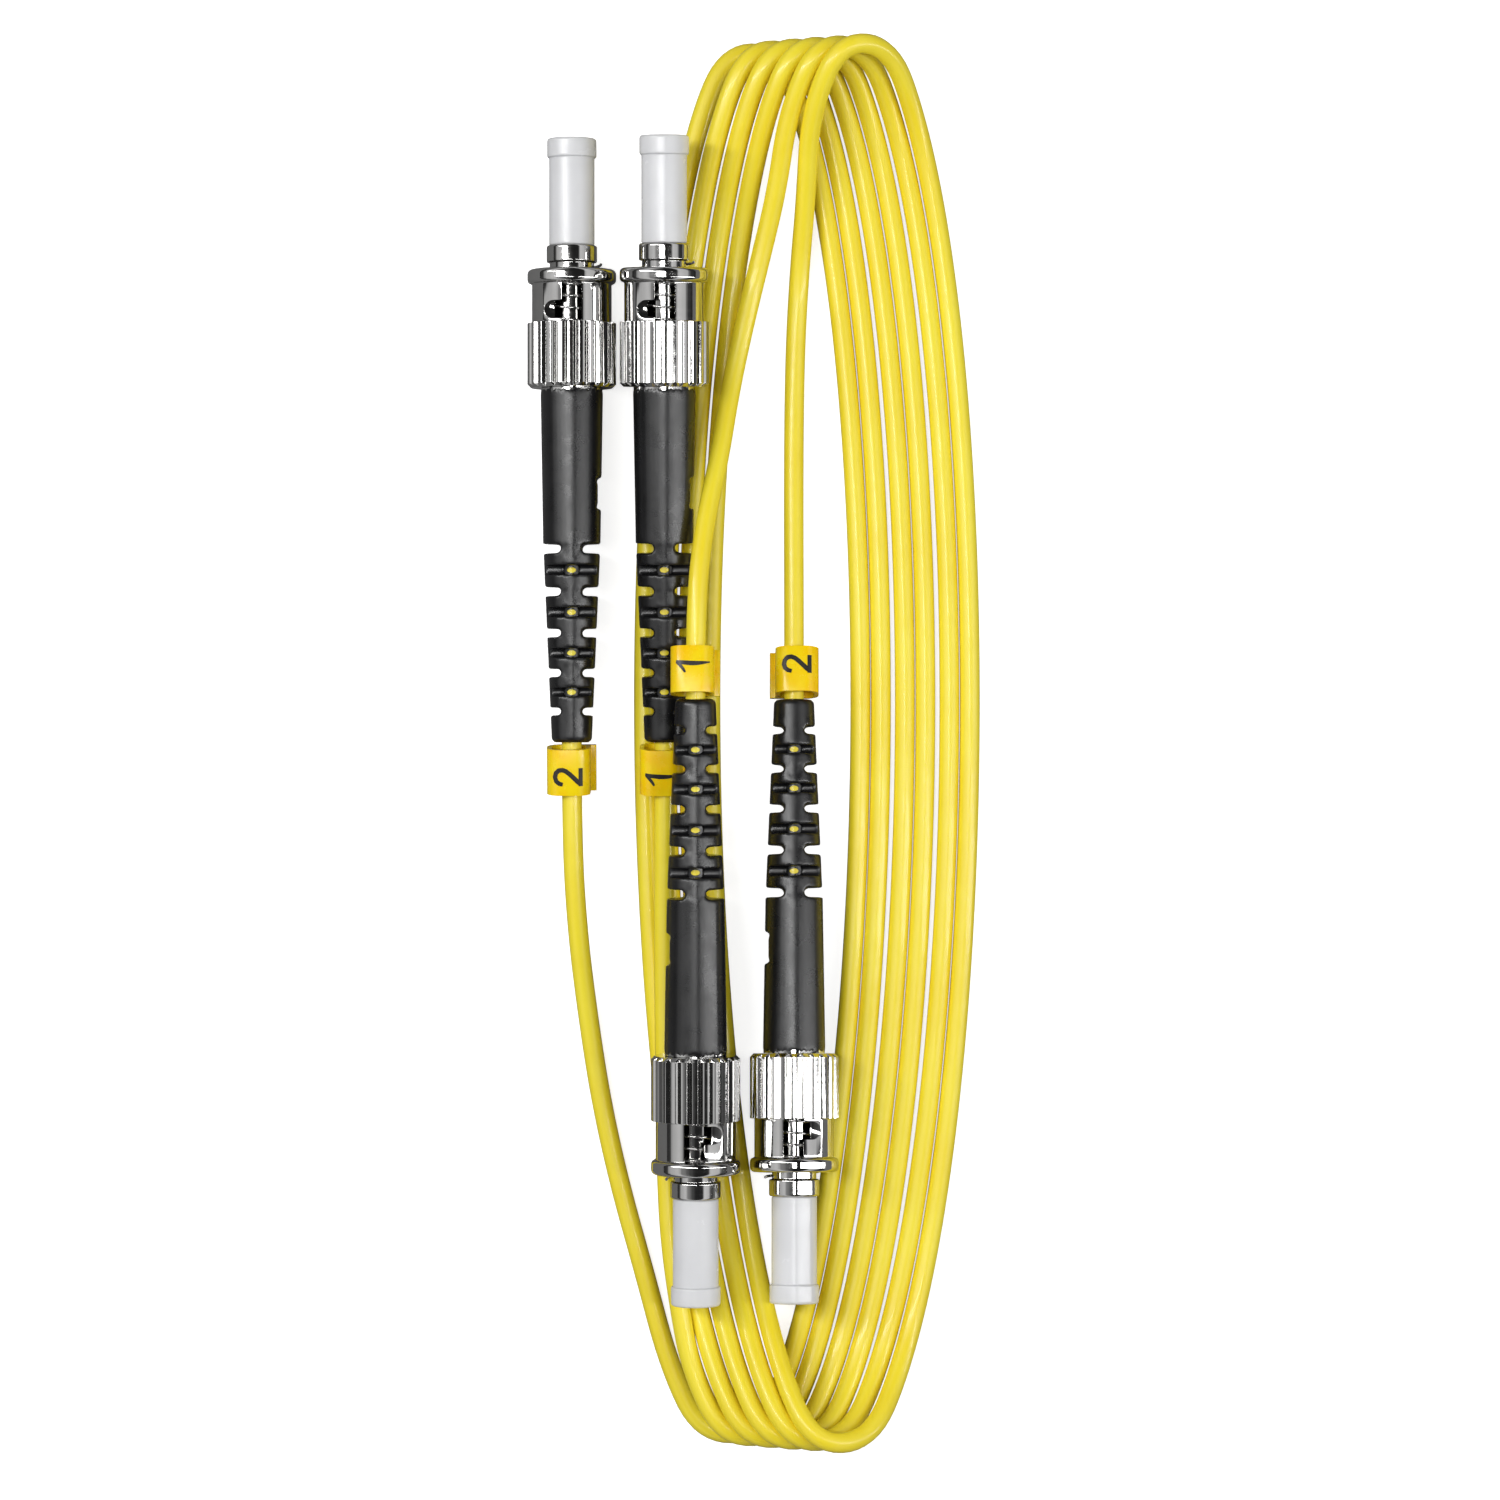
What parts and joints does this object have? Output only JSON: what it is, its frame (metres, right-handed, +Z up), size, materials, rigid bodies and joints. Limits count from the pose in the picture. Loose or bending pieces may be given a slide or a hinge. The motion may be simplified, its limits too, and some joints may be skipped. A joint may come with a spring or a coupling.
{
  "type": "fiber optic patch cord",
  "caption": "Duplex single-mode fibre patch cord with sprung bayonet plugs, dust caps, strain-relief boots and numbered marker rings, coiled flat for storage",
  "frame": {"origin": "on the surface the cord lies on, under the middle of the four plugs", "axes": "+Z up from the surface, +Y towards the end A plugs, +X to the side the coil lies on"},
  "size_m": [0.0451, 0.1397, 0.0124],
  "materials": {
    "jacket": "smooth yellow PVC cord jacket, slightly glossy",
    "nickel": "bright nickel plate on turned brass",
    "spring_steel": "drawn stainless spring wire",
    "boot_rubber": "black satin elastomer",
    "cap_plastic": "milky translucent polyethylene",
    "marker_plastic": "amber yellow moulded plastic",
    "ceramic": "polished white zirconia",
    "buffer": "tight fibre buffer"
  },
  "bodies": {
    "root": {"a1_ferrule": "ceramic", "a1_barrel": "nickel", "a1_nut_spring": "spring_steel", "a1_crimp_sleeve": "nickel", "a1_boot": "boot_rubber", "a1_cord_end": "jacket", "a1_buffered_fibre": "buffer", "a2_ferrule": "ceramic", "a2_barrel": "nickel", "a2_nut_spring": "spring_steel", "a2_crimp_sleeve": "nickel", "a2_boot": "boot_rubber", "a2_cord_end": "jacket", "a2_buffered_fibre": "buffer", "b1_ferrule": "ceramic", "b1_barrel": "nickel", "b1_nut_spring": "spring_steel", "b1_crimp_sleeve": "nickel", "b1_boot": "boot_rubber", "b1_cord_end": "jacket", "b1_buffered_fibre": "buffer", "b2_ferrule": "ceramic", "b2_barrel": "nickel", "b2_nut_spring": "spring_steel", "b2_crimp_sleeve": "nickel", "b2_boot": "boot_rubber", "b2_cord_end": "jacket", "b2_buffered_fibre": "buffer", "a1_tail": "jacket", "a2_tail": "jacket", "b1_tail": "jacket", "b2_tail": "jacket", "cord_coil": "jacket"},
    "a1_carrier": {"a1_spring_washer": "nickel"},
    "a1_nut": {"a1_coupling_nut": "nickel"},
    "a1_cap": {"a1_dust_cap": "cap_plastic"},
    "a1_marker": {"a1_marker_ring": "marker_plastic"},
    "a2_carrier": {"a2_spring_washer": "nickel"},
    "a2_nut": {"a2_coupling_nut": "nickel"},
    "a2_cap": {"a2_dust_cap": "cap_plastic"},
    "a2_marker": {"a2_marker_ring": "marker_plastic"},
    "b1_carrier": {"b1_spring_washer": "nickel"},
    "b1_nut": {"b1_coupling_nut": "nickel"},
    "b1_cap": {"b1_dust_cap": "cap_plastic"},
    "b1_marker": {"b1_marker_ring": "marker_plastic"},
    "b2_carrier": {"b2_spring_washer": "nickel"},
    "b2_nut": {"b2_coupling_nut": "nickel"},
    "b2_cap": {"b2_dust_cap": "cap_plastic"},
    "b2_marker": {"b2_marker_ring": "marker_plastic"}
  },
  "joints": [
    {"name": "a1_nut_slide", "type": "slide", "parent": "root", "child": "a1_carrier", "axis": [0, 1, 0], "range_m": [0, 0.0025], "stiffness_N_per_m": 800, "springref_m": -0.001, "deforming": ["a1_nut_spring"]},
    {"name": "a1_nut_turn", "type": "hinge", "parent": "a1_carrier", "child": "a1_nut", "pos_m": [-0.01103, 0.03785, 0.0044], "axis": [0, 1, 0], "continuous": true},
    {"name": "a1_cap_pull", "type": "slide", "parent": "root", "child": "a1_cap", "axis": [0, 1, 0], "range_m": [0, 0.012]},
    {"name": "a1_marker_slide", "type": "slide", "parent": "root", "child": "a1_marker", "axis": [0, -1, 0], "range_m": [0, 0.003]},
    {"name": "a2_nut_slide", "type": "slide", "parent": "root", "child": "a2_carrier", "axis": [0, 0.9984, 0.0558], "range_m": [0, 0.0025], "stiffness_N_per_m": 800, "springref_m": -0.001, "deforming": ["a2_nut_spring"]},
    {"name": "a2_nut_turn", "type": "hinge", "parent": "a2_carrier", "child": "a2_nut", "pos_m": [-0.00182, 0.03784, 0.00685], "axis": [0, 0.9984, 0.0558], "continuous": true},
    {"name": "a2_cap_pull", "type": "slide", "parent": "root", "child": "a2_cap", "axis": [0, 0.9984, 0.0558], "range_m": [0, 0.012]},
    {"name": "a2_marker_slide", "type": "slide", "parent": "root", "child": "a2_marker", "axis": [0, -0.9984, -0.0558], "range_m": [0, 0.0015]},
    {"name": "b1_nut_slide", "type": "slide", "parent": "root", "child": "b1_carrier", "axis": [0, -0.9995, -0.0314], "range_m": [0, 0.0025], "stiffness_N_per_m": 800, "springref_m": -0.001, "deforming": ["b1_nut_spring"]},
    {"name": "b1_nut_turn", "type": "hinge", "parent": "b1_carrier", "child": "b1_nut", "pos_m": [0.00129, -0.03785, 0.00787], "axis": [0, -0.9995, -0.0314], "continuous": true},
    {"name": "b1_cap_pull", "type": "slide", "parent": "root", "child": "b1_cap", "axis": [0, -0.9995, -0.0314], "range_m": [0, 0.003]},
    {"name": "b1_marker_slide", "type": "slide", "parent": "root", "child": "b1_marker", "axis": [0, 0.9995, 0.0314], "range_m": [0, 0.0025]},
    {"name": "b2_nut_slide", "type": "slide", "parent": "root", "child": "b2_carrier", "axis": [0, -0.9987, 0.0506], "range_m": [0, 0.0025], "stiffness_N_per_m": 800, "springref_m": -0.001, "deforming": ["b2_nut_spring"]},
    {"name": "b2_nut_turn", "type": "hinge", "parent": "b2_carrier", "child": "b2_nut", "pos_m": [0.01103, -0.03784, 0.00465], "axis": [0, -0.9987, 0.0506], "continuous": true},
    {"name": "b2_cap_pull", "type": "slide", "parent": "root", "child": "b2_cap", "axis": [0, -0.9987, 0.0506], "range_m": [0, 0.002]},
    {"name": "b2_marker_slide", "type": "slide", "parent": "root", "child": "b2_marker", "axis": [0, 0.9987, -0.0506], "range_m": [0, 0.003]}
  ]
}
